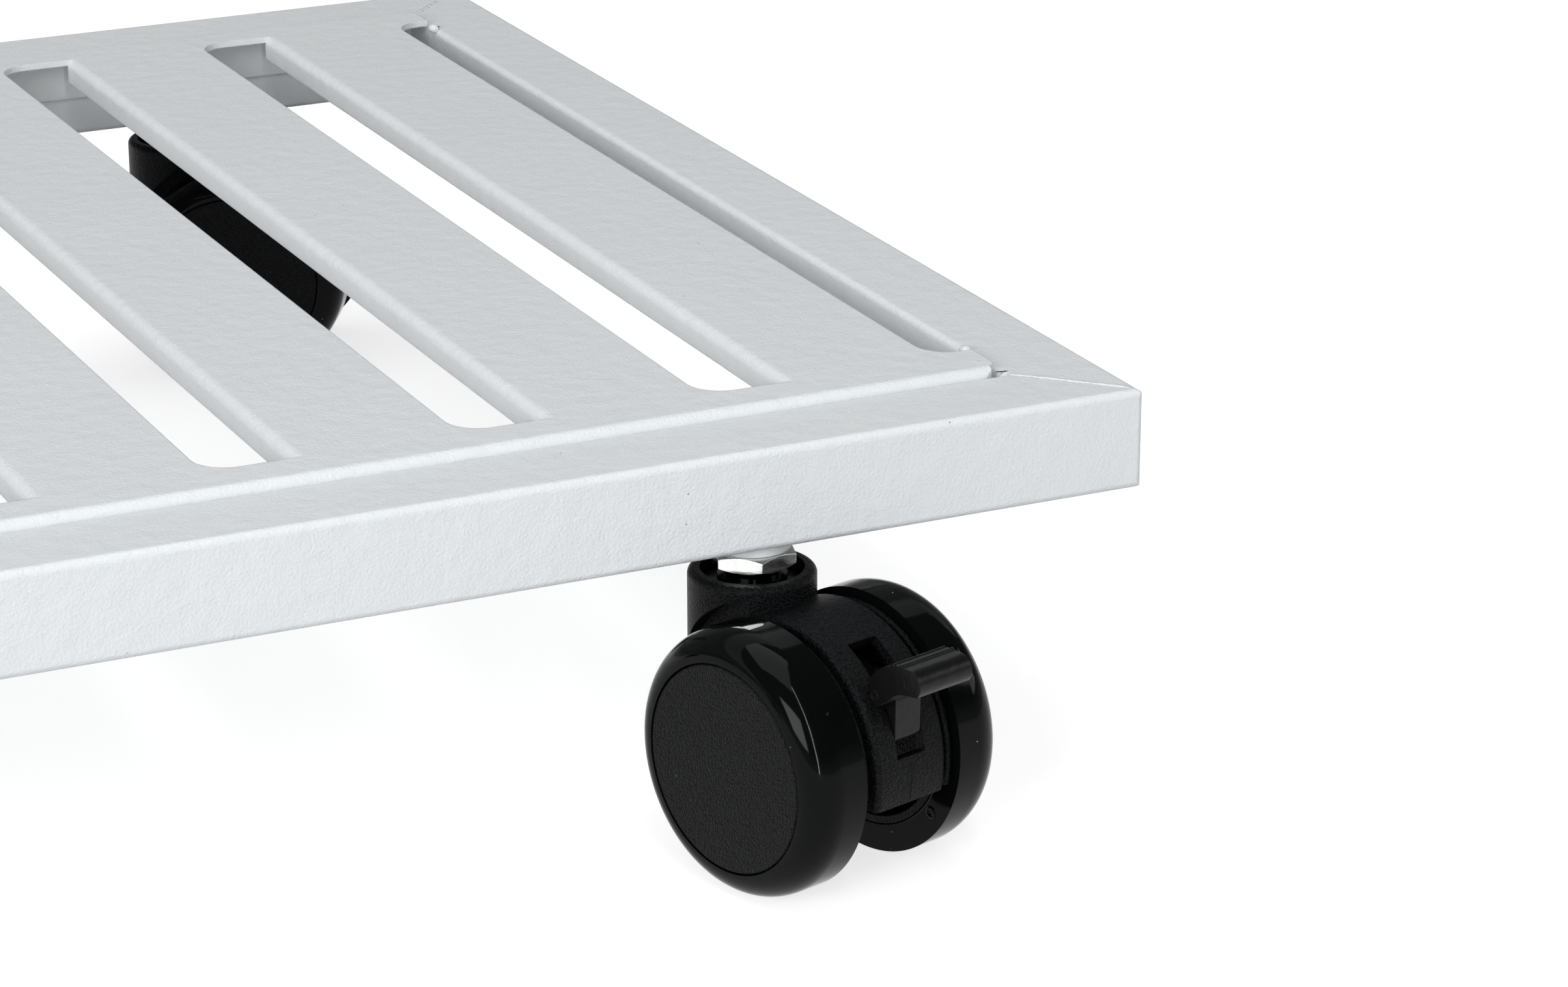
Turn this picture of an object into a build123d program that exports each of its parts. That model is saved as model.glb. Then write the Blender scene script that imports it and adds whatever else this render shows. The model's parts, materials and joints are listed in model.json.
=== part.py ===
from build123d import *
from math import atan2, cos, degrees, hypot, radians, sin, sqrt
import os

# Rolling plant shelf: a slotted sheet deck welded into a frame of four mitred
# square tubes, on four twin-wheel casters. The front two lock and the back two
# are plain. Millimetres, +Z up. The origin is on the floor under the middle of
# the shelf, +X is to the right and +Y is to the back. A caster is drawn once in
# its own frame, with its stem on the Z axis, its wheels trailing towards +X and
# its axle along Y.

# Frame of square tubes
shelf_width = 590.0
shelf_depth = 350.0
tube_size = 20.0
tube_wall = 1.5
tube_corner = 1.5
frame_corner = 1.2

# Deck of bent sheet
sheet = 1.5
deck_proud = 1.5
bend_radius = 2.2
apron_depth = 12.0
deck_side_gap = 0.3
bend_end_gap = 1.6
apron_corner = 4.0
slat_count = 11
slot_width = 17.4
end_gap = 9.4
slot_margin = 10.0
end_slot_margin = 12.0
slot_corner = 7.0
lip_depth = 5.5

# Where the casters stand and how they are turned in the photograph
caster_inset = 78.4
near_heading = -73.3
far_heading = -32.0

# Wheels
wheel_radius = 26.0
tyre_thickness = 5.6
wheel_inner = 11.9
wheel_outer = 23.9
tread_edge = 17.3
shoulder_rise = 5.55
tyre_round = 0.6
hub_rim_wall = 1.4
hub_web = 2.4
hub_boss_radius = 7.0
hub_end_play = 0.3
cap_thickness = 1.9
cap_gap = 0.28
cap_round = 0.4
axle_radius = 3.0
running_fit = 0.05
axle_end_margin = 2.4
rod_chamfer = 0.3

# Housing
trail = 18.4
hood_below_tread = 0.5
hood_half = 8.7
hood_round = 1.1
hood_wall = 2.1
pocket_half = 6.7
hood_drop = 5.4
fin_below_hood = 1.0
fin_inner = 9.9
fin_outer = 11.2
fin_round = 0.5
groove_depth = 4.6
axle_boss_radius = 6.2
boss_inner = 3.8
arch_clearance = 2.9
socket_radius = 12.3
socket_over_wheel = 3.0
socket_round = 1.3
recess_radius = 9.95
recess_depth = 3.5
tower_radius = 10.0
clip_room_radius = 8.0

# Brake window, lever, bar and pin; places are measured from the axle
window_half = 3.5
window_low = 9.0
window_high = 63.0
lever_half = 3.15
pedal_half = 6.6
pin_out = 10.0
pin_up = 7.5
pin_radius = 1.5
pin_inset = 0.2
bar_bearing = 57.08
bar_radius = 1.5
bar_into_rim = 2.6
bar_to_rim = 0.94
bar_play = 0.4
lever_eye_wall = 1.9
lever_lift = 14.0
lever_press = 8.0

# Pedal outline; its points are measured from the centre of its heel
heel_bearing = 36.13
heel_gap = 0.78
heel_radius = 1.7
heel_rise = 2.5
pedal_top = ((-1.1, 4.1), (0.1, 5.3), (2.0, 6.6), (4.6, 7.55))
nose_out = 8.7
nose_up = 5.0
nose_radius = 2.8
pedal_under = ((8.9, 2.85), (6.8, 2.5), (4.8, 1.7), (3.3, 0.4), (1.53, -0.76))
ridge_radius = 0.45
ridge_spots = ((4.2, 7.35), (6.4, 7.75))
tongue_root_radius = 1.6
tongue_root_drop = 1.5
tongue_toe_radius = 1.4
tongue_toe_inset = 2.8
tongue_toe_up = 8.0

# Stem, its nut, its sleeve and the insert in the tube
nut_gap = 0.8
nut_flats = 15.0
nut_height = 3.3
nut_turn = 30.8
nut_chamfer = 0.8
nut_land = 0.2
nut_edge = 0.1
stem_radius = 5.5
stud_radius = 5.0
stud_length = 14.0
stem_collar_radius = 6.7
stem_collar_height = 1.0
stem_collar_gap = 0.4
stem_tail = 3.0
stem_chamfer = 0.6
sleeve_wall = 1.45
sleeve_flange_radius = 9.0
sleeve_flange_height = 1.0
sleeve_length = 18.0
clip_height = 1.2
clip_step = 1.4
clip_groove = 0.6
clip_gap_angle = 50.0
clip_play = 0.4
insert_collar_radius = 7.4
insert_collar_height = 2.4
insert_radius = 6.5
insert_round = 0.5

# Radii and places that follow from the wheel
tyre_bore = wheel_radius - tyre_thickness
shoulder_radius = wheel_radius - shoulder_rise
hood_radius = wheel_radius - hood_below_tread
fin_radius = hood_radius - fin_below_hood
flange_radius = hood_radius - groove_depth
arch_radius = wheel_radius + arch_clearance
socket_rise = wheel_radius + socket_over_wheel
bar_reach = tyre_bore - hub_rim_wall - bar_to_rim - bar_radius
bar_out = bar_reach * cos(radians(bar_bearing))
bar_up = bar_reach * sin(radians(bar_bearing))
bar_half = wheel_inner + bar_into_rim
heel_reach = hood_radius + heel_gap + heel_radius
at_heel = Vector(heel_reach, 0).rotate(Axis.Z, heel_bearing)

# Heights above the floor that follow from the sizes
axle_height = wheel_radius
socket_top = axle_height + socket_rise
nut_bottom = socket_top + nut_gap
nut_top = nut_bottom + nut_height
frame_bottom = nut_top + insert_collar_height
frame_top = frame_bottom + tube_size
deck_top = frame_top + deck_proud
recess_floor = socket_top - recess_depth
sleeve_bottom = recess_floor - sleeve_length
sleeve_flange_top = recess_floor + sleeve_flange_height
stem_collar_bottom = sleeve_flange_top + stem_collar_gap
clip_top = sleeve_bottom - clip_play
clip_bottom = clip_top - clip_height
stem_bottom = clip_bottom - stem_tail

axle_centre = (trail, 0, axle_height)
axle_line = Axis(axle_centre, (0, 1, 0))
along_axle = Plane(origin=axle_centre, x_dir=(0, 1, 0), z_dir=(1, 0, 0))
across_axle = Plane(origin=axle_centre, x_dir=(1, 0, 0), z_dir=(0, -1, 0))

os.makedirs("parts", exist_ok=True)


def save(shape, name):
    shape.label = name
    export_step(shape, f"parts/{name}.step")


# Frame tubes: drawn along X with the outer face towards -Y, mitred at both ends
def mitred_tube(length, span, stem_spots):
    outer_face = -span / 2
    middle = Plane(
        origin=(0, outer_face + tube_size / 2, frame_bottom + tube_size / 2),
        x_dir=(0, 1, 0),
        z_dir=(1, 0, 0),
    )
    inner_size = tube_size - 2 * tube_wall
    inner_corner = max(tube_corner - tube_wall, 0.4)
    with BuildPart() as tube:
        with BuildSketch(middle):
            RectangleRounded(tube_size, tube_size, tube_corner)
            RectangleRounded(inner_size, inner_size, inner_corner, mode=Mode.SUBTRACT)
        extrude(amount=length / 2, both=True)
        for side in (-1, 1):
            corner = (side * length / 2, outer_face, 0)
            split(bisect_by=Plane(origin=corner, z_dir=(side, 1, 0)), keep=Keep.BOTTOM)
        with BuildSketch(Plane.XY.offset(frame_bottom)):
            RectangleRounded(length, span, frame_corner)
        extrude(amount=tube_size, mode=Mode.INTERSECT)
        for spot in stem_spots:
            with BuildSketch(Plane.XY.offset(frame_bottom)):
                with Locations((spot, outer_face + tube_size / 2)):
                    Circle(insert_radius)
            extrude(amount=tube_wall + inner_corner, mode=Mode.SUBTRACT)
    return tube.part


stem_x = shelf_width / 2 - caster_inset
stem_y = shelf_depth / 2 - tube_size / 2
long_tube = mitred_tube(shelf_width, shelf_depth, (-stem_x, stem_x))
short_tube = mitred_tube(shelf_depth, shelf_width, ())
save(long_tube.rotate(Axis.Z, 0), "front_tube")
save(long_tube.rotate(Axis.Z, 180), "back_tube")
save(short_tube.rotate(Axis.Z, 90), "right_tube")
save(short_tube.rotate(Axis.Z, -90), "left_tube")

# Deck: flat sheet with slots, an apron bent down at the front and back, and a
# lip bent down along the left side of every slat
deck_half_width = shelf_width / 2 - tube_size - deck_side_gap
deck_half_depth = shelf_depth / 2 - tube_size
slot_half = deck_half_depth - slot_margin
end_slot_half = deck_half_depth - end_slot_margin
first_slat = shelf_width / 2 - tube_size - end_gap
slat_run = shelf_width - 2 * tube_size - 2 * end_gap
slat_pitch = (slat_run + slot_width) / slat_count
slat_width = slat_pitch - slot_width
apron_half = deck_half_width - bend_end_gap
slat_rights = [first_slat - slat * slat_pitch for slat in range(slat_count)]
slat_lefts = [right - slat_width for right in slat_rights]


def bent_edge(face, depth, inward=1):
    # Section of a sheet edge bent down: a quarter bend and a straight leg,
    # with the outer face of the leg at x = face and the sheet at y = 0
    root = face + inward * bend_radius
    back = face + inward * sheet
    outer_half = bend_radius * sqrt(0.5)
    inner_half = (bend_radius - sheet) * sqrt(0.5)
    outer_mid = (root - inward * outer_half, outer_half - bend_radius)
    inner_mid = (root - inward * inner_half, inner_half - bend_radius)
    with BuildLine() as outline:
        ThreePointArc((root, 0), outer_mid, (face, -bend_radius))
        Line((face, -bend_radius), (face, -depth))
        Line((face, -depth), (back, -depth))
        Line((back, -depth), (back, -bend_radius))
        ThreePointArc((back, -bend_radius), inner_mid, (root, -sheet))
        Line((root, -sheet), (root, 0))
    return make_face(outline.edges())


with BuildSketch(Plane.XY.offset(deck_top - sheet)) as flat_sheet:
    Rectangle(2 * deck_half_width, 2 * (deck_half_depth - bend_radius))
    fillet(flat_sheet.vertices(), bend_end_gap)
    with Locations((first_slat, 0)):
        Rectangle(2 * end_gap, 2 * end_slot_half, align=(Align.MIN, Align.CENTER), mode=Mode.SUBTRACT)
    with Locations((slat_lefts[-1] + bend_radius, 0)):
        Rectangle(2 * end_gap, 2 * end_slot_half, align=(Align.MAX, Align.CENTER), mode=Mode.SUBTRACT)
    for left in slat_lefts[:-1]:
        with Locations((left + bend_radius, 0)):
            Rectangle(
                slot_width + bend_radius,
                2 * slot_half,
                align=(Align.MAX, Align.CENTER),
                mode=Mode.SUBTRACT,
            )
    cut_ends = [
        vertex
        for vertex in flat_sheet.vertices()
        if min(abs(vertex.X - right) for right in slat_rights) < 0.01
    ]
    fillet(cut_ends, slot_corner)

with BuildPart() as deck_plate:
    add(flat_sheet.sketch)
    extrude(amount=sheet)
    for turn in (1, -1):
        with BuildSketch(Plane(origin=(0, 0, deck_top), x_dir=(0, turn, 0), z_dir=(turn, 0, 0))):
            add(bent_edge(-deck_half_depth, apron_depth))
        extrude(amount=apron_half, both=True)
    with BuildSketch(Plane.XY.offset(deck_top - apron_depth)):
        RectangleRounded(2 * deck_half_width, 2 * deck_half_depth, apron_corner)
    extrude(amount=apron_depth, mode=Mode.INTERSECT)
    with BuildSketch(Plane(origin=(0, 0, deck_top), x_dir=(1, 0, 0), z_dir=(0, -1, 0))):
        for left in slat_lefts[:-1]:
            add(bent_edge(left, lip_depth))
    extrude(amount=slot_half, both=True)
    with BuildSketch(Plane(origin=(0, 0, deck_top), x_dir=(1, 0, 0), z_dir=(0, -1, 0))):
        add(bent_edge(slat_lefts[-1], lip_depth))
    extrude(amount=end_slot_half, both=True)
save(deck_plate.part, "deck_plate")

# Threaded inserts pressed up into the long tubes
with BuildPart() as insert:
    with BuildSketch(Plane.XZ) as insert_section:
        Rectangle(
            insert_collar_radius,
            insert_collar_height,
            align=(Align.MIN, Align.MIN),
        )
        rim = insert_section.vertices().group_by(Axis.X)[-1]
        fillet(rim, insert_round)
        with Locations((0, insert_collar_height)):
            Rectangle(insert_radius, stud_length - insert_collar_height, align=(Align.MIN, Align.MIN))
        Rectangle(stud_radius, stud_length, align=(Align.MIN, Align.MIN), mode=Mode.SUBTRACT)
    revolve(axis=Axis.Z)
with BuildPart() as threaded_inserts:
    with Locations(
        (stem_x, -stem_y, nut_top),
        (stem_x, stem_y, nut_top),
        (-stem_x, -stem_y, nut_top),
        (-stem_x, stem_y, nut_top),
    ):
        add(insert.part)
save(threaded_inserts.part, "threaded_inserts")

# Stem with its hexagon, collar and groove for the clip
with BuildPart() as stem:
    with BuildSketch(Plane.XZ):
        with Locations((0, stem_bottom)):
            Rectangle(stem_radius, nut_bottom - stem_bottom, align=(Align.MIN, Align.MIN))
        with Locations((0, stem_collar_bottom)):
            Rectangle(stem_collar_radius, stem_collar_height, align=(Align.MIN, Align.MIN))
        with Locations((0, nut_bottom)):
            Rectangle(stud_radius, nut_height + stud_length, align=(Align.MIN, Align.MIN))
        with Locations((stem_radius, clip_bottom)):
            Rectangle(clip_groove, clip_height, align=(Align.MAX, Align.MIN), mode=Mode.SUBTRACT)
    revolve(axis=Axis.Z)
    chamfer(stem.faces().sort_by(Axis.Z)[0].edges(), stem_chamfer)
    with BuildSketch(Plane.XY.offset(nut_bottom)):
        RegularPolygon(nut_flats / 2, 6, major_radius=False, rotation=nut_turn)
    extrude(amount=nut_height)
    land_radius = nut_flats / 2 - nut_land
    corner_radius = nut_flats / sqrt(3) + nut_edge
    with BuildSketch(Plane.XZ):
        with Locations((0, nut_bottom)):
            Rectangle(nut_flats, nut_height, align=(Align.MIN, Align.MIN))
        for level, rise in ((nut_bottom, 1), (nut_top, -1)):
            with BuildLine():
                Polyline(
                    (land_radius, level),
                    (nut_flats, level),
                    (nut_flats, level + rise * nut_chamfer),
                    (corner_radius, level + rise * nut_chamfer),
                    close=True,
                )
            make_face(mode=Mode.SUBTRACT)
        with Locations((0, stem_bottom)):
            Rectangle(land_radius, nut_bottom - stem_bottom, align=(Align.MIN, Align.MIN))
        with Locations((0, nut_top)):
            Rectangle(land_radius, stud_length, align=(Align.MIN, Align.MIN))
    revolve(axis=Axis.Z, mode=Mode.INTERSECT)

with BuildPart() as stem_clip:
    with BuildSketch(Plane.XY.offset(clip_bottom)):
        Circle(stem_radius + clip_step)
        Circle(stem_radius - clip_groove, mode=Mode.SUBTRACT)
        gap_corners = PolarLocations(
            2 * clip_room_radius, 2, -clip_gap_angle / 2, clip_gap_angle, endpoint=True
        )
        with BuildLine():
            Polyline((0, 0), *[spot.position for spot in gap_corners], close=True)
        make_face(mode=Mode.SUBTRACT)
    extrude(amount=clip_height)

# Sleeve the stem turns in
with BuildPart() as stem_sleeve:
    with BuildSketch(Plane.XZ):
        with Locations((stem_radius + running_fit, sleeve_bottom)):
            Rectangle(sleeve_wall, sleeve_length, align=(Align.MIN, Align.MIN))
        with Locations((stem_radius + running_fit, recess_floor)):
            Rectangle(
                sleeve_flange_radius - stem_radius - running_fit,
                sleeve_flange_height,
                align=(Align.MIN, Align.MIN),
            )
    revolve(axis=Axis.Z)
sleeve_radius = stem_radius + running_fit + sleeve_wall

# Wheel: hub, tyre and cap, turned round the axle
hub_outer = wheel_outer - cap_thickness
with BuildPart() as hub:
    with BuildSketch(along_axle):
        with Locations((wheel_inner, tyre_bore)):
            Rectangle(hub_outer - wheel_inner, hub_rim_wall, align=(Align.MIN, Align.MAX))
        with Locations((hub_outer, axle_radius + running_fit)):
            Rectangle(hub_web, tyre_bore - axle_radius - running_fit, align=(Align.MAX, Align.MIN))
        with Locations((fin_outer + hub_end_play, axle_radius + running_fit)):
            Rectangle(
                hub_outer - fin_outer - hub_end_play,
                hub_boss_radius - axle_radius - running_fit,
                align=(Align.MIN, Align.MIN),
            )
    revolve(axis=axle_line)

shoulder = wheel_radius - shoulder_radius
with BuildPart() as tyre:
    with BuildSketch(along_axle) as tyre_section:
        with Locations((wheel_inner, tyre_bore)):
            Rectangle(
                tread_edge - wheel_inner,
                wheel_radius - tyre_bore,
                align=(Align.MIN, Align.MIN),
            )
        fillet(tyre_section.vertices().sort_by(Axis.Z)[-2:].sort_by(Axis.Y)[0], tyre_round)
        with BuildLine():
            EllipticalCenterArc(
                (tread_edge, shoulder_radius),
                wheel_outer - tread_edge,
                shoulder,
                start_angle=0,
                arc_size=90,
            )
            Line((tread_edge, wheel_radius), (tread_edge, tyre_bore))
            Line((tread_edge, tyre_bore), (wheel_outer, tyre_bore))
            Line((wheel_outer, tyre_bore), (wheel_outer, shoulder_radius))
        make_face()
    revolve(axis=axle_line)

with BuildPart() as cap:
    with BuildSketch(along_axle) as cap_section:
        with Locations((hub_outer, 0)):
            Rectangle(cap_thickness, tyre_bore - cap_gap, align=(Align.MIN, Align.MIN))
        rim = cap_section.vertices().group_by(Axis.Z)[-1]
        fillet(rim.sort_by(Axis.Y)[-1], cap_round)
    revolve(axis=axle_line)

# Axle, brake pin and brake bar
def rod(out, up, radius, half):
    with BuildPart() as turned:
        with BuildSketch(across_axle):
            with Locations((out, up)):
                Circle(radius)
        extrude(amount=half, both=True)
        chamfer(turned.edges().filter_by(GeomType.CIRCLE), rod_chamfer)
    return turned.part


axle = rod(0, 0, axle_radius, wheel_outer - axle_end_margin)
brake_pin = rod(pin_out, pin_up, pin_radius, fin_outer - pin_inset)
brake_bar = rod(bar_out, bar_up, bar_radius, bar_half)

# Housing: a drum turned round the axle, joined to the upright socket
with BuildPart() as neck:
    with BuildSketch(Plane.XY.offset(axle_height - hood_drop)):
        Circle(socket_radius)
    extrude(amount=socket_rise + hood_drop)
    fillet(neck.faces().sort_by(Axis.Z)[-1].edges(), socket_round)
    for side in (-1, 1):
        with BuildSketch(across_axle.offset(side * hood_half)):
            Circle(arch_radius)
        extrude(amount=side * socket_radius, mode=Mode.SUBTRACT)

with BuildPart() as pocket:
    with BuildSketch(across_axle):
        Circle(hood_radius - hood_wall)
    extrude(amount=pocket_half, both=True)
    with BuildSketch(Plane.XY):
        Circle(tower_radius)
    extrude(amount=socket_top, mode=Mode.SUBTRACT)
    for side in (-1, 1):
        with BuildSketch(across_axle.offset(side * boss_inner)):
            Circle(axle_boss_radius)
        extrude(amount=side * pocket_half, mode=Mode.SUBTRACT)

with BuildPart() as plain_housing:
    with BuildSketch(along_axle) as drum_section:
        Rectangle(2 * hood_half, hood_radius, align=(Align.CENTER, Align.MIN))
        fillet(drum_section.vertices().group_by(Axis.Z)[-1], hood_round)
        for side in (-1, 1):
            with BuildSketch(along_axle, mode=Mode.PRIVATE) as fin_section:
                with Locations((side * (fin_inner + fin_outer) / 2, 0)):
                    Rectangle(fin_outer - fin_inner, fin_radius, align=(Align.CENTER, Align.MIN))
                fillet(fin_section.vertices().group_by(Axis.Z)[-1], fin_round)
            add(fin_section.sketch_local)
        Rectangle(2 * fin_outer, flange_radius, align=(Align.CENTER, Align.MIN))
    revolve(axis=axle_line)
    add(neck.part)
    add(pocket.part, mode=Mode.SUBTRACT)
    for level, height, radius in (
        (recess_floor, recess_depth, recess_radius),
        (sleeve_bottom, sleeve_length, sleeve_radius),
        (0, sleeve_bottom, clip_room_radius),
    ):
        with BuildSketch(Plane.XY.offset(level)):
            Circle(radius)
        extrude(amount=height, mode=Mode.SUBTRACT)
    with BuildSketch(across_axle):
        with Locations((0, -hood_drop)):
            Rectangle(4 * hood_radius, 2 * hood_radius, align=(Align.CENTER, Align.MAX))
        Circle(axle_boss_radius, mode=Mode.SUBTRACT)
    extrude(amount=2 * fin_outer, both=True, mode=Mode.SUBTRACT)
    with BuildSketch(across_axle):
        Circle(axle_radius)
    extrude(amount=2 * fin_outer, both=True, mode=Mode.SUBTRACT)

# Locking housing: the same with a window for the lever, a hole for its pin and
# curved slots in which the brake bar swings
pin_to_bar = hypot(bar_out - pin_out, bar_up - pin_up)
bar_start = degrees(atan2(bar_up - pin_up, bar_out - pin_out)) - lever_press
bar_path = CenterArc((pin_out, pin_up), pin_to_bar, bar_start, lever_press + lever_lift)
window_corners = PolarLocations(
    2 * hood_radius, 2, window_low, window_high - window_low, endpoint=True
)
with BuildPart() as locking_housing:
    add(plain_housing.part)
    with BuildSketch(across_axle):
        with BuildLine():
            Polyline((0, 0), *[spot.position for spot in window_corners], close=True)
        make_face()
        Circle(hood_radius - 2 * hood_wall, mode=Mode.SUBTRACT)
    extrude(amount=window_half, both=True, mode=Mode.SUBTRACT)
    with BuildSketch(across_axle):
        with Locations((pin_out, pin_up)):
            Circle(pin_radius)
        SlotArc(bar_path, 2 * (bar_radius + bar_play))
    extrude(amount=2 * fin_outer, both=True, mode=Mode.SUBTRACT)

# Brake lever: a wide pedal outside the hood on a narrow web that passes
# through the window to the pin and the bar
with BuildPart() as brake_lever:
    with BuildSketch(across_axle):
        heel_back = at_heel - Vector(heel_radius, 0)
        nose_middle = at_heel + Vector(nose_out, nose_up)
        with BuildLine():
            heel = Line(heel_back, heel_back + Vector(0, heel_rise))
            nose = CenterArc(nose_middle, nose_radius, 90, -135)
            Spline(
                heel @ 1,
                *[at_heel + Vector(*point) for point in pedal_top],
                nose @ 0,
                tangents=((0, 1), (1, 0)),
            )
            under = Spline(nose @ 1, *[at_heel + Vector(*point) for point in pedal_under])
            ThreePointArc(under @ 1, at_heel - Vector(0, heel_radius), heel @ 0)
        make_face()
        with Locations(*[at_heel + Vector(*spot) for spot in ridge_spots]):
            Circle(ridge_radius)
    extrude(amount=pedal_half, both=True)
    with BuildSketch(across_axle):
        tongue_root = at_heel - Vector(0, tongue_root_drop)
        tongue_toe = (hood_radius - tongue_toe_inset, tongue_toe_up)
        with BuildLine():
            CenterArc((pin_out, pin_up), pin_radius + lever_eye_wall, 0, 360)
            CenterArc(tongue_root, tongue_root_radius, 0, 360)
            CenterArc(tongue_toe, tongue_toe_radius, 0, 360)
        make_hull()
    extrude(amount=lever_half, both=True)
    with BuildSketch(across_axle):
        with BuildLine():
            CenterArc((pin_out, pin_up), pin_radius + lever_eye_wall, 0, 360)
            CenterArc((bar_out, bar_up), bar_radius + lever_eye_wall, 0, 360)
        make_hull()
    extrude(amount=lever_half, both=True)
    with BuildSketch(across_axle):
        with Locations((pin_out, pin_up)):
            Circle(pin_radius + running_fit)
        with Locations((bar_out, bar_up)):
            Circle(bar_radius)
    extrude(amount=pedal_half, both=True, mode=Mode.SUBTRACT)

# Two locking casters at the front and two plain ones at the back
locking_casters = {
    "front_right": (stem_x, -stem_y, near_heading),
    "front_left": (-stem_x, -stem_y, far_heading + 180),
}
plain_casters = {
    "back_left": (-stem_x, stem_y, near_heading + 180),
    "back_right": (stem_x, stem_y, far_heading),
}
rolling_pieces = {
    "stem": stem.part,
    "stem_sleeve": stem_sleeve.part,
    "axle": axle,
    "left_hub": hub.part,
    "left_tyre": tyre.part,
    "left_cap": cap.part,
    "right_hub": mirror(hub.part, Plane.XZ),
    "right_tyre": mirror(tyre.part, Plane.XZ),
    "right_cap": mirror(cap.part, Plane.XZ),
}
locking_pieces = {
    "housing": locking_housing.part,
    "brake_lever": brake_lever.part,
    "brake_bar": brake_bar,
    "brake_pin": brake_pin,
}
plain_pieces = {"housing": plain_housing.part}
for corners, own_pieces in (
    (locking_casters, locking_pieces),
    (plain_casters, plain_pieces),
):
    for corner, (x, y, heading) in corners.items():
        place = Location((x, y, 0), (0, 0, heading))
        for name, piece in (rolling_pieces | own_pieces).items():
            save(piece.moved(place), f"{corner}_{name}")

with BuildPart() as stem_clips:
    for x, y, heading in (locking_casters | plain_casters).values():
        add(stem_clip.part.moved(Location((x, y, 0), (0, 0, heading))))
save(stem_clips.part, "stem_clips")
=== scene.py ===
"""Finish and studio for the rolling plant shelf: paint, zinc plate, moulded nylon, tyres and welds."""

import json
import math
import random

import bpy
from bpy.props import FloatProperty, FloatVectorProperty, IntProperty, PointerProperty
from mathutils import Matrix, Vector


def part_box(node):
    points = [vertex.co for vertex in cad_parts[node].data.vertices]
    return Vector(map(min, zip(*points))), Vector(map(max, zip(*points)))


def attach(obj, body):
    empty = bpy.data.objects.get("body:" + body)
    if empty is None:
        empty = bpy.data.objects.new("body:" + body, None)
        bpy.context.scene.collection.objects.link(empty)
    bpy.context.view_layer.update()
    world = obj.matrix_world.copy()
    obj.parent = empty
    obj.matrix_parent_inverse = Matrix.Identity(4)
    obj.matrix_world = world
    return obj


bl_info = {
    "name": "Rolling Plant Shelf Finish",
    "version": (1, 0, 0),
    "blender": (4, 5, 0),
    "location": "View3D > Sidebar > Plant Shelf",
    "description": "Dresses a welded steel plant shelf on swivel casters",
    "category": "Object",
}

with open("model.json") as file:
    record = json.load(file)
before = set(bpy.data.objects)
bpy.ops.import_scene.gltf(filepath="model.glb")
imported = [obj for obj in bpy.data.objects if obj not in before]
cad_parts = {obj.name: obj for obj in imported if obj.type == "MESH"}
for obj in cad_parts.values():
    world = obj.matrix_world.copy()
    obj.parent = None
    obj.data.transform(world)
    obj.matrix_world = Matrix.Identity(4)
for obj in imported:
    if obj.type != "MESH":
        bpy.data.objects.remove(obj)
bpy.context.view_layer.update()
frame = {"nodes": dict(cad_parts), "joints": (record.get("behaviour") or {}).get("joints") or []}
nodes = frame["nodes"]
joints = {joint["name"]: joint for joint in frame["joints"]}
corners = ("front_right", "front_left", "back_left", "back_right")
tubes = ("front_tube", "back_tube", "left_tube", "right_tube")
wheel_sides = ("left", "right")
MM = 0.001
UP = Vector((0, 0, 1))

# Tube and wheel sizes, read from the frame
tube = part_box("front_tube")[1].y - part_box("front_tube")[0].y
tube_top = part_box("front_tube")[1].z
half_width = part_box("front_tube")[1].x
half_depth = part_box("back_tube")[1].y
wheel_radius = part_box("front_right_right_tyre")[1].z / 2


def srgb(code):
    """Turn a hex colour such as #D8DCDE into linear red, green and blue."""
    values = [int(code[place : place + 2], 16) / 255 for place in (1, 3, 5)]
    return tuple(v / 12.92 if v <= 0.04045 else ((v + 0.055) / 1.055) ** 2.4 for v in values)


class PaintSizes(bpy.types.PropertyGroup):
    """Powder coat on the frame and the deck."""

    colour: FloatVectorProperty(
        name="Coat colour", description="Light grey white coat", subtype="COLOR", default=srgb("#D6DADC")
    )
    peel_mm: FloatProperty(
        name="Orange peel", description="Width of one bump of the coat, in mm", default=0.62
    )
    peel_height_mm: FloatProperty(
        name="Peel height", description="Height of the coat's bumps, in mm", default=0.15
    )
    edge_mm: FloatProperty(
        name="Edge build", description="Radius that the coat gives to a cut edge, in mm", default=0.45
    )


class MouldSizes(bpy.types.PropertyGroup):
    """Nylon housings, hub caps, levers and cast tyres."""

    nylon: FloatVectorProperty(
        name="Nylon colour", description="Black of the textured pieces", subtype="COLOR", default=srgb("#0B0C0D")
    )
    lever: FloatVectorProperty(
        name="Lever colour", description="Black of the brake lever", subtype="COLOR", default=srgb("#0E0E0F")
    )
    tyre: FloatVectorProperty(
        name="Tyre colour", description="Black of the cast tyre", subtype="COLOR", default=srgb("#060707")
    )
    grain_mm: FloatProperty(
        name="Spark grain", description="Width of one pit of the eroded texture, in mm", default=0.42
    )
    grain_height_mm: FloatProperty(
        name="Grain height", description="Depth of the eroded texture, in mm", default=0.35
    )
    seam_mm: FloatProperty(
        name="Parting seam", description="Width of the parting seam on the housing, in mm", default=0.3
    )
    mark_mm: FloatProperty(
        name="Mark height", description="Height of the pin and gate marks, in mm", default=0.14
    )


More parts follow.
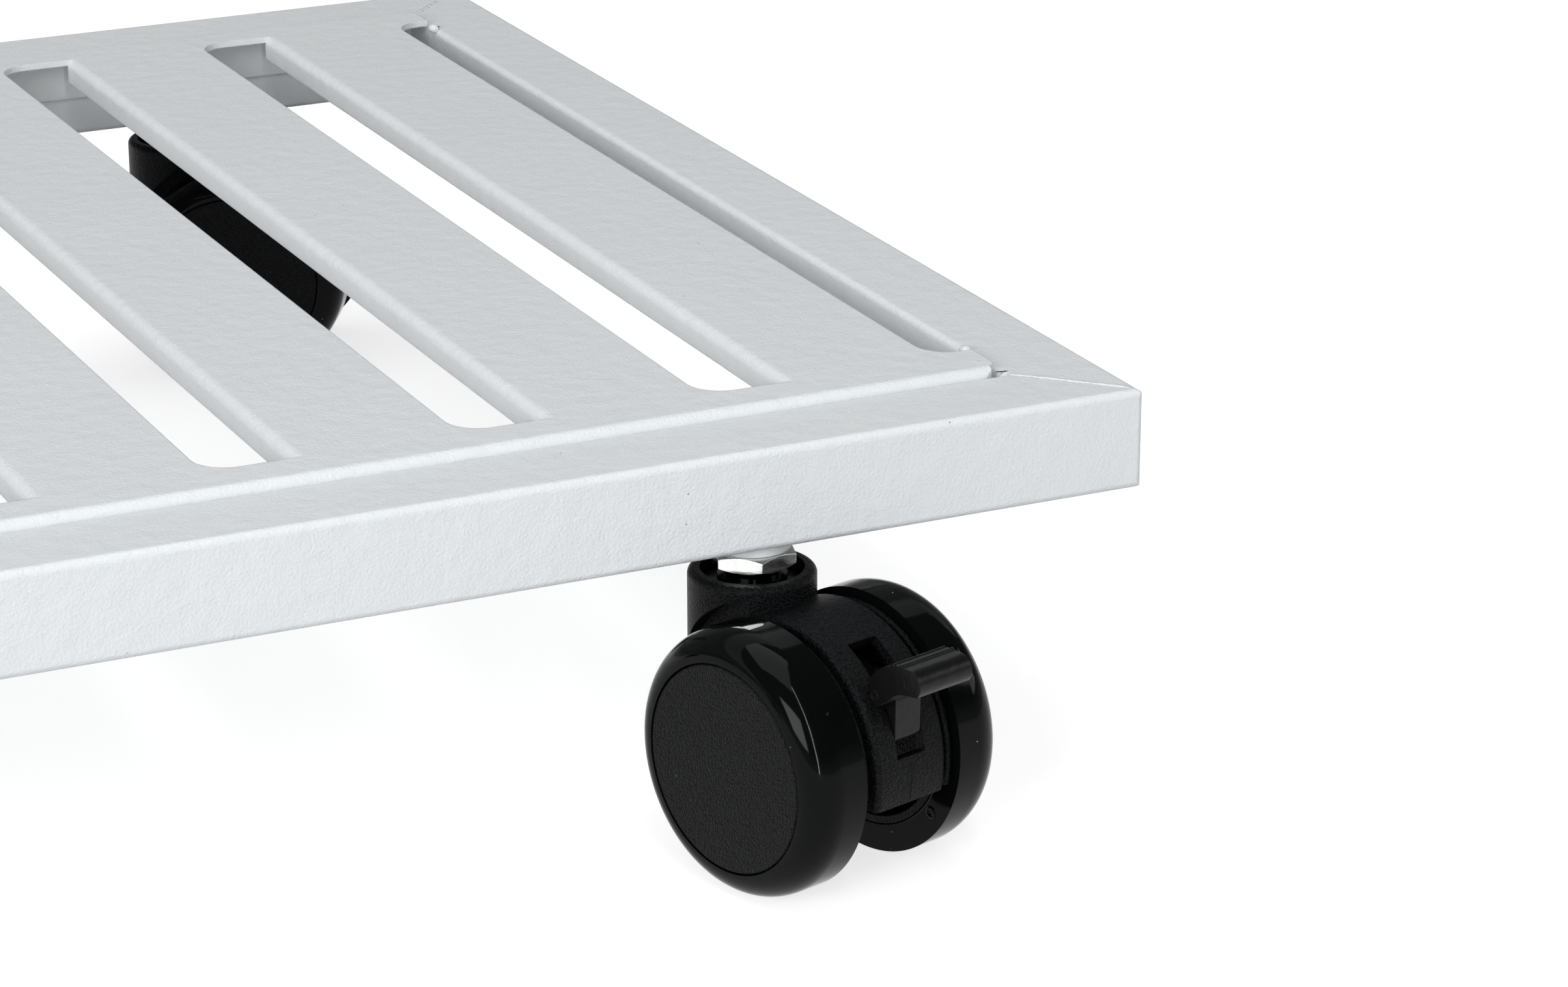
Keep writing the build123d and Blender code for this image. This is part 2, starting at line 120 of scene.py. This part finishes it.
class WeldSizes(bpy.types.PropertyGroup):
    """Welds that show through the coat."""

    bead_width_mm: FloatProperty(
        name="Bead width", description="Width of the ground mitre weld, in mm", default=1.4
    )
    bead_height_mm: FloatProperty(
        name="Bead height", description="Height of the mitre weld over the tube, in mm", default=0.2
    )
    tack_mm: FloatProperty(
        name="Tack radius", description="Radius of a tack weld at the deck's side, in mm", default=1.3
    )
    tack_place_mm: FloatProperty(
        name="Tack place", description="Distance of a tack weld from the end of the frame, in mm", default=35.2
    )
    drift_mm: FloatProperty(
        name="Weld drift", description="Distance of the mitre weld's middle from the mitre, in mm", default=0.9
    )
    seed: IntProperty(name="Seed", description="Seed of the weld's unevenness", default=7)


class StudioLevels(bpy.types.PropertyGroup):
    """Lamps, world and floor."""

    room: FloatProperty(
        name="Room level", description="Brightness of the dim room overhead", default=0.12
    )
    horizon: FloatProperty(
        name="Horizon level", description="Brightness of the pale wall at the horizon", default=0.6
    )
    overhead_w: FloatProperty(
        name="Overhead box", description="Power of the box over the shelf", unit="POWER", default=22.4
    )
    front_w: FloatProperty(
        name="Front box", description="Power of the box beside the camera", unit="POWER", default=40.0
    )
    side_w: FloatProperty(
        name="Side box", description="Power of the box on the right", unit="POWER", default=8.0
    )
    strip_w: FloatProperty(
        name="Strip box", description="Power of the tall strip beside the camera", unit="POWER", default=9.0
    )
    floor_lift: FloatProperty(
        name="Floor lift", description="Light that the floor adds by itself to look white", default=0.72
    )


def add_node(tree, kind, inputs=None, **settings):
    """Add a shader node with its settings, and fill its inputs with values or links."""
    node = tree.nodes.new(kind)
    for name, value in settings.items():
        setattr(node, name, value)
    for name, value in (inputs or {}).items():
        socket = node.inputs[name]
        if isinstance(value, bpy.types.NodeSocket):
            tree.links.new(value, socket)
        else:
            socket.default_value = value
    return node


def new_material(name):
    """Make an empty material and return it with its node tree."""
    material = bpy.data.materials.new(name)
    material.use_nodes = True
    material.node_tree.nodes.clear()
    return material, material.node_tree


def finish_material(material, tree, shader):
    """Link the finished shader to the material's surface."""
    add_node(tree, "ShaderNodeOutputMaterial", {"Surface": shader.outputs[0]})
    return material


def rgba(colour, level=1.0):
    """Linear colour with alpha, made lighter or darker by level."""
    return (colour[0] * level, colour[1] * level, colour[2] * level, 1.0)


def noise(tree, place, width_mm, detail=2.0):
    """Noise whose lumps are about width_mm across."""
    scale = 1 / (width_mm * MM)
    inputs = {"Vector": place, "Scale": scale, "Detail": detail}
    return add_node(tree, "ShaderNodeTexNoise", inputs).outputs["Fac"]


def relief(tree, height, depth_mm, under=None):
    """Bump of depth_mm from a height, over another normal where one is given."""
    inputs = {"Height": height, "Distance": depth_mm * MM}
    if under is not None:
        inputs["Normal"] = under
    return add_node(tree, "ShaderNodeBump", inputs).outputs["Normal"]


def blend_colours(tree, factor, low, high):
    """Colour between low and high by factor; the typed Mix node has its colours at inputs 6 and 7."""
    inputs = {0: factor, 6: low, 7: high}
    return add_node(tree, "ShaderNodeMix", inputs, data_type="RGBA").outputs[2]


def speck_mask(tree, place, spacing_mm, radius_mm, share):
    """Mask of small round specks about spacing_mm apart, kept in the given share of places."""
    cells = add_node(tree, "ShaderNodeTexVoronoi", {"Vector": place, "Scale": 1 / (spacing_mm * MM)})
    edge = radius_mm / spacing_mm
    inputs = {"Value": cells.outputs["Distance"], "From Min": edge, "From Max": 1.4 * edge}
    inputs |= {"To Min": 1.0, "To Max": 0.0}
    spot = add_node(tree, "ShaderNodeMapRange", inputs).outputs["Result"]
    pick = add_node(tree, "ShaderNodeSeparateColor", {"Color": cells.outputs["Color"]}).outputs["Red"]
    kept = add_node(tree, "ShaderNodeMath", {0: pick, 1: share}, operation="LESS_THAN").outputs[0]
    return add_node(tree, "ShaderNodeMath", {0: spot, 1: kept}, operation="MULTIPLY").outputs[0]


def powder_coated_steel(paint):
    """Polyester powder coat, baked: satin, with the soft orange peel of sprayed powder."""
    material, tree = new_material("Powder coated steel")
    place = add_node(tree, "ShaderNodeTexCoord").outputs["Object"]
    # The coat draws back from a cut edge and rounds it
    edge = add_node(tree, "ShaderNodeBevel", {"Radius": paint.edge_mm * MM}, samples=6).outputs["Normal"]
    # The real peel is 0.3 mm across, and is drawn twice as coarse so that it shows
    peel = noise(tree, place, paint.peel_mm)
    # Slow waves where the powder flowed before it set
    flow = noise(tree, place, 7 * paint.peel_mm, 1.0)
    normal = relief(tree, peel, paint.peel_height_mm, edge)
    normal = relief(tree, flow, 1.5 * paint.peel_height_mm, normal)
    cloud = noise(tree, place, 30.0, 2.0)
    tone = blend_colours(tree, cloud, rgba(paint.colour, 0.98), rgba(paint.colour, 1.02))
    # A few pits where dust lay under the powder
    pit = speck_mask(tree, place, 9.0, 0.16, 0.5)
    tone = blend_colours(tree, pit, tone, rgba(srgb("#8E9496")))
    inputs = {"Base Color": tone, "Roughness": 0.46, "IOR": 1.5, "Normal": normal}
    return finish_material(material, tree, add_node(tree, "ShaderNodeBsdfPrincipled", inputs))


def spark_eroded_nylon(mould):
    """Black nylon from a spark eroded mould: dull, with a fine pitted grain that glints."""
    material, tree = new_material("Spark eroded nylon")
    place = add_node(tree, "ShaderNodeTexCoord").outputs["Object"]
    edge = add_node(tree, "ShaderNodeBevel", {"Radius": 0.3 * MM}, samples=6).outputs["Normal"]
    # The real pits are 0.25 mm across, and are drawn coarser so that they show
    grain = noise(tree, place, mould.grain_mm, 2.0)
    normal = relief(tree, grain, mould.grain_height_mm, edge)
    # Painted light: the grain's peaks are drawn lighter as glints and its pits darker as shade
    inputs = {"Value": grain, "From Min": 0.42, "From Max": 0.6}
    grain_light_and_shade = add_node(tree, "ShaderNodeMapRange", inputs).outputs["Result"]
    tone = blend_colours(tree, grain_light_and_shade, rgba(mould.nylon, 0.35), rgba(mould.nylon, 2.2))
    lint = speck_mask(tree, place, 2.6, 0.09, 0.1)
    tone = blend_colours(tree, lint, tone, rgba(srgb("#8A8B88")))
    # Pits hide part of each glint, so less light is thrown back than from a smooth face
    inputs = {"Base Color": tone, "Roughness": 0.34, "IOR": 1.53, "Specular IOR Level": 0.055}
    inputs |= {"Normal": normal}
    return finish_material(material, tree, add_node(tree, "ShaderNodeBsdfPrincipled", inputs))


def smooth_acetal(mould):
    """Black acetal from a polished mould: satin, nearly smooth, with faint flow waves."""
    material, tree = new_material("Smooth acetal")
    place = add_node(tree, "ShaderNodeTexCoord").outputs["Object"]
    edge = add_node(tree, "ShaderNodeBevel", {"Radius": 0.3 * MM}, samples=6).outputs["Normal"]
    grain = noise(tree, place, 0.5, 2.0)
    normal = relief(tree, grain, 0.02, edge)
    flow = noise(tree, place, 3.0, 2.0)
    normal = relief(tree, flow, 0.12, normal)
    lint = speck_mask(tree, place, 1.8, 0.08, 0.12)
    tone = blend_colours(tree, lint, rgba(mould.lever), rgba(srgb("#777877")))
    inputs = {"Base Color": tone, "Roughness": 0.34, "IOR": 1.48, "Specular IOR Level": 0.2}
    inputs |= {"Normal": normal}
    return finish_material(material, tree, add_node(tree, "ShaderNodeBsdfPrincipled", inputs))


def cast_polyurethane(mould):
    """Black polyurethane tyre, cast in a polished mould: glossy, with slow waves and a little dust."""
    material, tree = new_material("Cast polyurethane")
    place = add_node(tree, "ShaderNodeTexCoord").outputs["Object"]
    wave = noise(tree, place, 7.0, 1.0)
    normal = relief(tree, wave, 0.06)
    dust = speck_mask(tree, place, 2.4, 0.1, 0.14)
    tone = blend_colours(tree, dust, rgba(mould.tyre), rgba(srgb("#A9AAA6")))
    # The gloss goes a little dull where hands and floor have touched it
    touched = noise(tree, place, 12.0, 2.0)
    inputs = {"Value": touched, "From Min": 0.3, "From Max": 0.7, "To Min": 0.04, "To Max": 0.09}
    rough = add_node(tree, "ShaderNodeMapRange", inputs).outputs["Result"]
    inputs = {"Base Color": tone, "Roughness": rough, "IOR": 1.5, "Specular IOR Level": 0.08}
    inputs |= {"Normal": normal}
    return finish_material(material, tree, add_node(tree, "ShaderNodeBsdfPrincipled", inputs))


def plated_metal(name, dark, light, smooth, dull, shade_below=None):
    """Turned and pressed steel under a thin coat: a clear metal with faint tool lines and clouds."""
    material, tree = new_material(name)
    place = add_node(tree, "ShaderNodeTexCoord").outputs["Object"]
    edge = add_node(tree, "ShaderNodeBevel", {"Radius": 0.2 * MM}, samples=6).outputs["Normal"]
    # Tool lines 0.3 mm apart run round the stem
    stretched = add_node(tree, "ShaderNodeMapping", {"Vector": place, "Scale": (0.12, 0.12, 1.0)})
    lines = noise(tree, stretched.outputs["Vector"], 0.3, 2.0)
    normal = relief(tree, lines, 0.012, edge)
    cloud = noise(tree, place, 2.0, 3.0)
    tone = blend_colours(tree, cloud, rgba(srgb(dark)), rgba(srgb(light)))
    if shade_below is not None:
        # Painted shade: the stem is drawn dark up to this height, for the shade under the hexagon and in the
        # socket
        height = add_node(tree, "ShaderNodeSeparateXYZ", {"Vector": place}).outputs["Z"]
        inputs = {"Value": height, "From Min": shade_below - 0.4 * MM, "From Max": shade_below}
        unshaded = add_node(tree, "ShaderNodeMapRange", inputs).outputs["Result"]
        tone = blend_colours(tree, unshaded, rgba(srgb("#1B1C1D")), tone)
    inputs = {"Value": cloud, "To Min": smooth, "To Max": dull}
    rough = add_node(tree, "ShaderNodeMapRange", inputs).outputs["Result"]
    inputs = {"Base Color": tone, "Metallic": 1.0, "Roughness": rough, "Normal": normal}
    return finish_material(material, tree, add_node(tree, "ShaderNodeBsdfPrincipled", inputs))


def gap_shadow():
    """Painted shadow for the bottom of a narrow gap: a dark, slightly mottled colour that stands in for its
    shade.
    """
    material, tree = new_material("Painted slit shadow")
    place = add_node(tree, "ShaderNodeTexCoord").outputs["Object"]
    shade_mottle = noise(tree, place, 0.4, 2.0)
    tone = blend_colours(tree, shade_mottle, rgba(srgb("#23272A")), rgba(srgb("#3A3D3F")))
    inputs = {"Base Color": tone, "Roughness": 0.85}
    return finish_material(material, tree, add_node(tree, "ShaderNodeBsdfPrincipled", inputs))


def paper_floor(lift):
    """White paper sweep: matt, with a little light of its own for the camera and for reflections."""
    material, tree = new_material("White paper")
    path = add_node(tree, "ShaderNodeLightPath")
    inputs = {0: path.outputs["Is Camera Ray"], 1: path.outputs["Is Glossy Ray"]}
    seen = add_node(tree, "ShaderNodeMath", inputs, operation="MAXIMUM")
    inputs = {0: seen.outputs[0], 1: path.outputs["Is Transmission Ray"]}
    seen = add_node(tree, "ShaderNodeMath", inputs, operation="MAXIMUM")
    strength = add_node(tree, "ShaderNodeMath", {0: seen.outputs[0], 1: lift}, operation="MULTIPLY")
    paper = add_node(tree, "ShaderNodeBsdfDiffuse", {"Color": (0.55, 0.55, 0.55, 1.0)})
    glow = add_node(tree, "ShaderNodeEmission", {"Strength": strength.outputs[0]})
    both = add_node(tree, "ShaderNodeAddShader", {0: paper.outputs[0], 1: glow.outputs[0]})
    return finish_material(material, tree, both)


def studio_room(room, horizon):
    """Dim room overhead that grows pale towards the horizon."""
    world = bpy.data.worlds.new("Room")
    world.use_nodes = True
    tree = world.node_tree
    tree.nodes.clear()
    toward = add_node(tree, "ShaderNodeTexCoord").outputs["Generated"]
    height = add_node(tree, "ShaderNodeSeparateXYZ", {"Vector": toward}).outputs["Z"]
    inputs = {"Value": height, "From Min": 0.04, "From Max": 0.22, "To Min": horizon, "To Max": room}
    level = add_node(tree, "ShaderNodeMapRange", inputs).outputs["Result"]
    sky = add_node(tree, "ShaderNodeBackground", {"Strength": level})
    add_node(tree, "ShaderNodeOutputWorld", {"Surface": sky.outputs[0]})
    return world


def present(pieces):
    """Full node names of the given caster pieces, for each caster that has them."""
    names = [f"{corner}_{piece}" for corner in corners for piece in pieces]
    return [name for name in names if name in nodes]


def corner_signs(corner):
    """Which way a corner lies: 1 for right and back, -1 for left and front."""
    return (1 if "right" in corner else -1), (1 if "back" in corner else -1)


def coat(names, material):
    """Give the named CAD nodes one material."""
    for name in names:
        slots = nodes[name].data.materials
        slots.clear()
        slots.append(material)


def make_piece(name, points, faces, material, body):
    """Make a smooth mesh piece that rides on a body and takes the given material."""
    mesh = bpy.data.meshes.new(name)
    mesh.from_pydata([tuple(point) for point in points], [], faces)
    mesh.update()
    mesh.shade_smooth()
    piece = bpy.data.objects.new(name, mesh)
    bpy.context.scene.collection.objects.link(piece)
    mesh.materials.append(material)
    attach(piece, body)
    return piece


def bead(stations, width, height, sink, rng, rough=0.0):
    """Weld bead along stations of (point, up): a low rounded ridge with tapered ends and a sunk foot."""
    points = []
    faces = []
    round_steps = 8
    end_share = 0.12
    last = len(stations) - 1
    for index, (point, up) in enumerate(stations):
        ahead = stations[min(index + 1, last)][0] - stations[max(index - 1, 0)][0]
        side = ahead.cross(up).normalized()
        end = min(index, last - index) / max(1.0, end_share * last)
        taper = math.sin(min(1.0, end) * math.pi / 2) ** 0.5 if end > 0 else 0.05
        wide = width / 2 * taper * (1 + rough * rng.uniform(-1, 1))
        tall = height * taper * (1 + rough * rng.uniform(-1, 1))
        for step in range(round_steps + 1):
            angle = math.pi * step / round_steps
            rise = tall * math.sin(angle) ** 2 - sink
            points.append(point + side * wide * math.cos(angle) + up * rise)
    ring = round_steps + 1
    for index in range(last):
        for step in range(round_steps):
            first = index * ring + step
            faces.append((first, first + 1, first + ring + 1, first + ring))
    faces.append(tuple(range(round_steps, -1, -1)))
    faces.append(tuple(range(last * ring, last * ring + ring)))
    for index in range(last):
        low = index * ring
        faces.append((low, low + ring, low + ring + round_steps, low + round_steps))
    return points, faces


def lump(middle, radii, rng):
    """Small uneven dome, closed all round, with its widest ring at the middle."""
    points = []
    rings, steps = 9, 20
    for level in range(rings + 1):
        angle = math.pi * level / rings
        for step in range(steps):
            turn = 2 * math.pi * step / steps
            rough = 1 + 0.08 * math.sin(3 * turn + 2 * level) + rng.uniform(-0.02, 0.02)
            spread = math.sin(angle) * rough
            x, y = radii[0] * spread * math.cos(turn), radii[1] * spread * math.sin(turn)
            points.append(middle + Vector((x, y, radii[2] * math.cos(angle))))
    faces = []
    for level in range(rings):
        for step in range(steps):
            beside = (step + 1) % steps
            low, high = level * steps, (level + 1) * steps
            faces.append((low + step, high + step, high + beside, low + beside))
    return points, faces


def ring(middle, normal, radius, half_width, height):
    """Raised ring that lies on a face, rounded on top and sunk a little at its foot."""
    across = normal.orthogonal().normalized()
    along = normal.cross(across)
    points = []
    steps, section = 36, 7
    sink = 0.02 * MM
    for step in range(steps):
        turn = 2 * math.pi * step / steps
        out = across * math.cos(turn) + along * math.sin(turn)
        for place in range(section):
            angle = math.pi * place / (section - 1)
            reach = radius + half_width * math.cos(angle)
            points.append(middle + out * reach + normal * (height * math.sin(angle) - sink))
    faces = []
    for step in range(steps):
        first, beside = step * section, (step + 1) % steps * section
        for place in range(section):
            after = (place + 1) % section
            faces.append((first + place, beside + place, beside + after, first + after))
    return points, faces


def caster_frame(corner):
    """Frame of a caster at its axle centre: X trails away from the stem, Y is the axle, Z is up."""
    spin = joints[f"{corner}_left_wheel_spin"]
    axle = Vector(spin["axis"]).normalized()
    basis = Matrix((axle.cross(UP), axle, UP)).transposed().to_4x4()
    return Matrix.Translation(Vector(spin["pos_m"])) @ basis


class SHELF_OT_powder_coat(bpy.types.Operator):
    """Coat the tubes, the deck and the inserts"""

    bl_idname = "shelf.powder_coat"
    bl_label = "Powder Coat"

    def execute(self, context):
        coat((*tubes, "deck_plate", "threaded_inserts"), powder_coated_steel(context.scene.shelf_paint))
        return {"FINISHED"}


class SHELF_OT_zinc_plate(bpy.types.Operator):
    """Plate the stems, axles, pins, bars and clips, and paint shade on the stems under the hexagons and on the
    sleeves
    """

    bl_idname = "shelf.zinc_plate"
    bl_label = "Zinc Plate"

    def execute(self, context):
        bright = ("axle", "brake_bar", "brake_pin")
        plated = plated_metal("Zinc plated steel", "#D2D5D3", "#F0F2EE", 0.08, 0.18)
        coat(("stem_clips", *present(bright)), plated)
        # The hexagon starts 0.8 mm over the socket, and the painted shade on the stem stops just under it
        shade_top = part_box("front_right_housing")[1].z + 0.7 * MM
        shaded_stem_metal = plated_metal("Zinc plated steel with painted shade", "#D2D5D3", "#F0F2EE", 0.08, 0.18, shade_top)
        coat(present(("stem",)), shaded_stem_metal)
        # Painted shade: the sleeves are drawn dark for the dark socket that their metal reflects
        shaded_sleeve_metal = plated_metal("Dark steel for painted shade", "#2A2B2D", "#3B3D40", 0.2, 0.4)
        coat(present(("stem_sleeve",)), shaded_sleeve_metal)
        return {"FINISHED"}


class SHELF_OT_casters(bpy.types.Operator):
    """Finish the housings, hubs, caps, levers and tyres"""

    bl_idname = "shelf.casters"
    bl_label = "Casters"

    def execute(self, context):
        mould = context.scene.shelf_mould
        textured = ["housing"] + [f"{side}_{piece}" for side in wheel_sides for piece in ("hub", "cap")]
        coat(present(textured), spark_eroded_nylon(mould))
        coat(present(("brake_lever",)), smooth_acetal(mould))
        coat(present([f"{side}_tyre" for side in wheel_sides]), cast_polyurethane(mould))
        return {"FINISHED"}


class SHELF_OT_mitre_welds(bpy.types.Operator):
    """Add the ground weld at each mitre, and a painted shadow for the open slit it leaves"""

    bl_idname = "shelf.mitre_welds"
    bl_label = "Mitre Welds"

    def execute(self, context):
        weld = context.scene.shelf_weld
        rng = random.Random(weld.seed)
        paint = nodes["deck_plate"].data.materials[0]
        gap = gap_shadow()
        # Ends of the weld, in mm along the tubes from the outer corner
        weld_start, weld_end = 1.3, tube / MM - 0.7
        # The weld bows off the mitre between its ends, wanders and shakes
        bow_start, bow_end = 0.15, 0.85
        wander_mm, wander_turns, shake_mm = 0.12, 8, 0.03
        # Ends of the slit, in mm from the outer corner, on the short tube beside the deck's corner
        slit_start, slit_end, slit_width_mm, slit_lift_mm = (17.8, 21.2), (20.4, 21.7), 0.6, 0.02
        for corner in corners:
            side_x, side_y = corner_signs(corner)
            corner_point = Vector((side_x * half_width, side_y * half_depth, tube_top))
            inward = Vector((-side_x, -side_y, 0))
            across = Vector((side_x, -side_y, 0)).normalized()
            stations = []
            count = 48
            for index in range(count + 1):
                share = index / count
                reach = (weld_start + share * (weld_end - weld_start)) * MM
                bow = weld.drift_mm * math.sin(math.pi * (bow_start + share * (bow_end - bow_start)))
                wander = wander_mm * math.sin(wander_turns * share + side_x)
                sway = (bow + wander + rng.uniform(-shake_mm, shake_mm)) * MM
                stations.append((corner_point + inward * reach + across * sway, UP))
            width, height = weld.bead_width_mm * MM, weld.bead_height_mm * MM
            points, faces = bead(stations, width, height, 0.05 * MM, rng, 0.2)
            make_piece(f"{corner}_mitre_weld", points, faces, paint, "shelf")

            # The weld stops short of the inner corner and leaves a slit, whose shade is painted as a flat dark
            # sliver
            ends = [
                corner_point + Vector((-side_x * along, -side_y * over, slit_lift_mm)) * MM
                for along, over in (slit_start, slit_end)
            ]
            stations = [(ends[0].lerp(ends[1], index / 12), UP) for index in range(13)]
            points, faces = bead(stations, slit_width_mm * MM, 0.03 * MM, 0.02 * MM, rng, 0.35)
            make_piece(f"{corner}_mitre_slit_shade", points, faces, gap, "shelf")
        return {"FINISHED"}


class SHELF_OT_tack_welds(bpy.types.Operator):
    """Add the tack welds between the deck's sides and the short tubes, each with a dark lump for the painted
    shade of its pinhole
    """

    bl_idname = "shelf.tack_welds"
    bl_label = "Tack Welds"

    def execute(self, context):
        weld = context.scene.shelf_weld
        rng = random.Random(weld.seed + 1)
        paint = nodes["deck_plate"].data.materials[0]
        pinhole_shade = nodes["front_right_stem_sleeve"].data.materials[0]
        inner_face = half_width - tube
        onto_tube_mm, over_tube_mm = 0.4, 0.1
        for corner in corners:
            side_x, side_y = corner_signs(corner)
            across = side_x * (inner_face + onto_tube_mm * MM)
            along = side_y * (half_depth - weld.tack_place_mm * MM)
            middle = Vector((across, along, tube_top + over_tube_mm * MM))
            radius = weld.tack_mm * MM
            # A tack is longer along the gap than across it, and lower still
            points, faces = lump(middle, (radius, 1.25 * radius, 0.85 * radius), rng)
            make_piece(f"{corner}_tack_weld", points, faces, paint, "shelf")
            # The pinhole lies on its outer flank, and a small dark lump there paints its shade
            pinhole = middle + Vector((0.62 * side_x, -0.45 * side_y, 0.42)) * radius
            points, faces = lump(pinhole, (0.3 * radius, 0.3 * radius, 0.16 * radius), rng)
            make_piece(f"{corner}_tack_pinhole_shade", points, faces, pinhole_shade, "shelf")
        return {"FINISHED"}


class SHELF_OT_mould_marks(bpy.types.Operator):
    """Add the parting seams, the ejector pin rings and the gate marks"""

    bl_idname = "shelf.mould_marks"
    bl_label = "Mould Marks"

    def execute(self, context):
        mould = context.scene.shelf_mould
        seam_seed = 11
        rng = random.Random(seam_seed)
        # Sizes in mm and angles in degrees, in the frame of a caster
        hood_below_tread = 0.5
        seam_top_under_window, seam_top_plain, seam_foot = 6.5, 84.0, -11.5
        pedal_side = 6.6
        pin_rings = (("heel", 22.2, 16.7, 0.85), ("nose", 31.2, 21.6, 1.25))
        wheel_inner_face, gate_reach, gate_turns = 11.9, 22.6, (-36.0, 144.0)
        for corner in corners:
            place = caster_frame(corner)
            to_world = place.to_3x3()
            nylon = nodes[f"{corner}_housing"].data.materials[0]
            locks = f"{corner}_brake_lever" in nodes
            hood = wheel_radius - hood_below_tread * MM

            # Parting seam down the middle of the hood, below the window where there is one
            high = seam_top_under_window if locks else seam_top_plain
            count = 40
            stations = []
            for index in range(count + 1):
                angle = math.radians(high + (seam_foot - high) * index / count)
                out = to_world @ Vector((math.cos(angle), 0, math.sin(angle)))
                stations.append((place.translation + out * hood, out))
            points, faces = bead(stations, mould.seam_mm * MM, 0.07 * MM, 0.02 * MM, rng, 0.15)
            make_piece(f"{corner}_parting_seam", points, faces, nylon, f"{corner}_swivel")

            # Rings that the ejector pins left on the ends of the lever
            if locks:
                acetal = nodes[f"{corner}_brake_lever"].data.materials[0]
                for side, hand in ((-1, "right"), (1, "left")):
                    normal = to_world @ Vector((0, side, 0))
                    for label, out, up, radius in pin_rings:
                        face = place @ (Vector((out, side * pedal_side, up)) * MM)
                        points, faces = ring(face, normal, radius * MM, 0.16 * MM, mould.mark_mm * MM)
                        name = f"{corner}_lever_{label}_ring_{hand}"
                        make_piece(name, points, faces, acetal, f"{corner}_lever")

            # Plain gate marks on the inner faces of the tyres
            for side, hand in ((1, "left"), (-1, "right")):
                rubber = nodes[f"{corner}_{hand}_tyre"].data.materials[0]
                normal = to_world @ Vector((0, -side, 0))
                for turn in gate_turns:
                    angle = math.radians(turn)
                    out, up = math.cos(angle) * gate_reach, math.sin(angle) * gate_reach
                    spot = place @ (Vector((out, side * wheel_inner_face, up)) * MM)
                    points, faces = ring(spot, normal, 0.9 * MM, 0.45 * MM, 1.6 * mould.mark_mm * MM)
                    name = f"{corner}_{hand}_gate_{'low' if turn < 0 else 'high'}"
                    make_piece(name, points, faces, rubber, f"{corner}_{hand}_wheel")
        return {"FINISHED"}


class SHELF_OT_studio(bpy.types.Operator):
    """Lay the floor, hang the lamps and place the camera"""

    bl_idname = "shelf.studio"
    bl_label = "Studio"

    def execute(self, context):
        levels = context.scene.shelf_studio
        floor_mesh = bpy.data.meshes.new("floor")
        reach = 20.0
        edge = [(-reach, -reach, 0), (reach, -reach, 0), (reach, reach, 0), (-reach, reach, 0)]
        floor_mesh.from_pydata(edge, [], [(0, 1, 2, 3)])
        floor = bpy.data.objects.new("floor", floor_mesh)
        context.scene.collection.objects.link(floor)
        floor_mesh.materials.append(paper_floor(levels.floor_lift))
        context.scene.world = studio_room(levels.room, levels.horizon)

        # Name, place, aim, width, height in metres, and power
        boxes = (
            ("overhead_box", (-0.1, 0.1, 2.0), (0, 0, 0), 2.0, 1.6, levels.overhead_w),
            ("front_box", (-1.7, -1.5, 0.95), (0.1, -0.1, 0.05), 1.3, 1.1, levels.front_w),
            ("side_box", (2.2, -0.7, 0.9), (0.2, 0, 0.05), 1.0, 0.8, levels.side_w),
            ("strip_box", (-0.05, -1.06, 1.22), (0.2, -0.19, 1.22), 0.022, 2.4, levels.strip_w),
        )
        for name, place, aim, width, height, power in boxes:
            lamp = bpy.data.lights.new(name, "AREA")
            lamp.shape = "RECTANGLE"
            lamp.size, lamp.size_y = width, height
            lamp.energy = power
            box = bpy.data.objects.new(name, lamp)
            context.scene.collection.objects.link(box)
            box.visible_camera = False
            box.location = place
            box.rotation_euler = (Vector(aim) - Vector(place)).to_track_quat("-Z", "Y").to_euler()

        # The photograph's view: a long lens from the front left, 20 degrees above the horizon.
        # The camera's place is in metres from the front right corner of the frame's top
        left, front, rise = 0.4394, 0.7523, 0.2950
        tilt, turn = 70.0, -25.77
        camera = bpy.data.cameras.new("photo_camera")
        camera.sensor_width = 36.0
        camera.lens = 110.0
        camera.clip_start = 0.05
        viewer = bpy.data.objects.new("photo_camera", camera)
        context.scene.collection.objects.link(viewer)
        viewer.location = (half_width - left, -half_depth - front, tube_top + rise)
        viewer.rotation_euler = (math.radians(tilt), 0.0, math.radians(turn))
        context.scene.camera = viewer
        context.scene.view_settings.view_transform = "Standard"
        return {"FINISHED"}


class SHELF_PT_finish(bpy.types.Panel):
    """Buttons for each finish, in the sidebar"""

    bl_label = "Plant Shelf"
    bl_space_type = "VIEW_3D"
    bl_region_type = "UI"
    bl_category = "Plant Shelf"

    def draw(self, context):
        for operator in OPERATORS:
            self.layout.operator(operator.bl_idname)


OPERATORS = (
    SHELF_OT_powder_coat,
    SHELF_OT_zinc_plate,
    SHELF_OT_casters,
    SHELF_OT_mitre_welds,
    SHELF_OT_tack_welds,
    SHELF_OT_mould_marks,
    SHELF_OT_studio,
)
GROUPS = {
    "shelf_paint": PaintSizes,
    "shelf_mould": MouldSizes,
    "shelf_weld": WeldSizes,
    "shelf_studio": StudioLevels,
}


def register():
    for group in GROUPS.values():
        bpy.utils.register_class(group)
    for operator in OPERATORS:
        bpy.utils.register_class(operator)
    bpy.utils.register_class(SHELF_PT_finish)
    for name, group in GROUPS.items():
        setattr(bpy.types.Scene, name, PointerProperty(type=group))


def unregister():
    for name in GROUPS:
        delattr(bpy.types.Scene, name)
    for kind in (SHELF_PT_finish, *OPERATORS, *GROUPS.values()):
        bpy.utils.unregister_class(kind)


def main():
    """Run every operator in order."""
    register()
    bpy.ops.shelf.powder_coat()
    bpy.ops.shelf.zinc_plate()
    bpy.ops.shelf.casters()
    bpy.ops.shelf.mitre_welds()
    bpy.ops.shelf.tack_welds()
    bpy.ops.shelf.mould_marks()
    bpy.ops.shelf.studio()


if __name__ == "__main__":
    main()
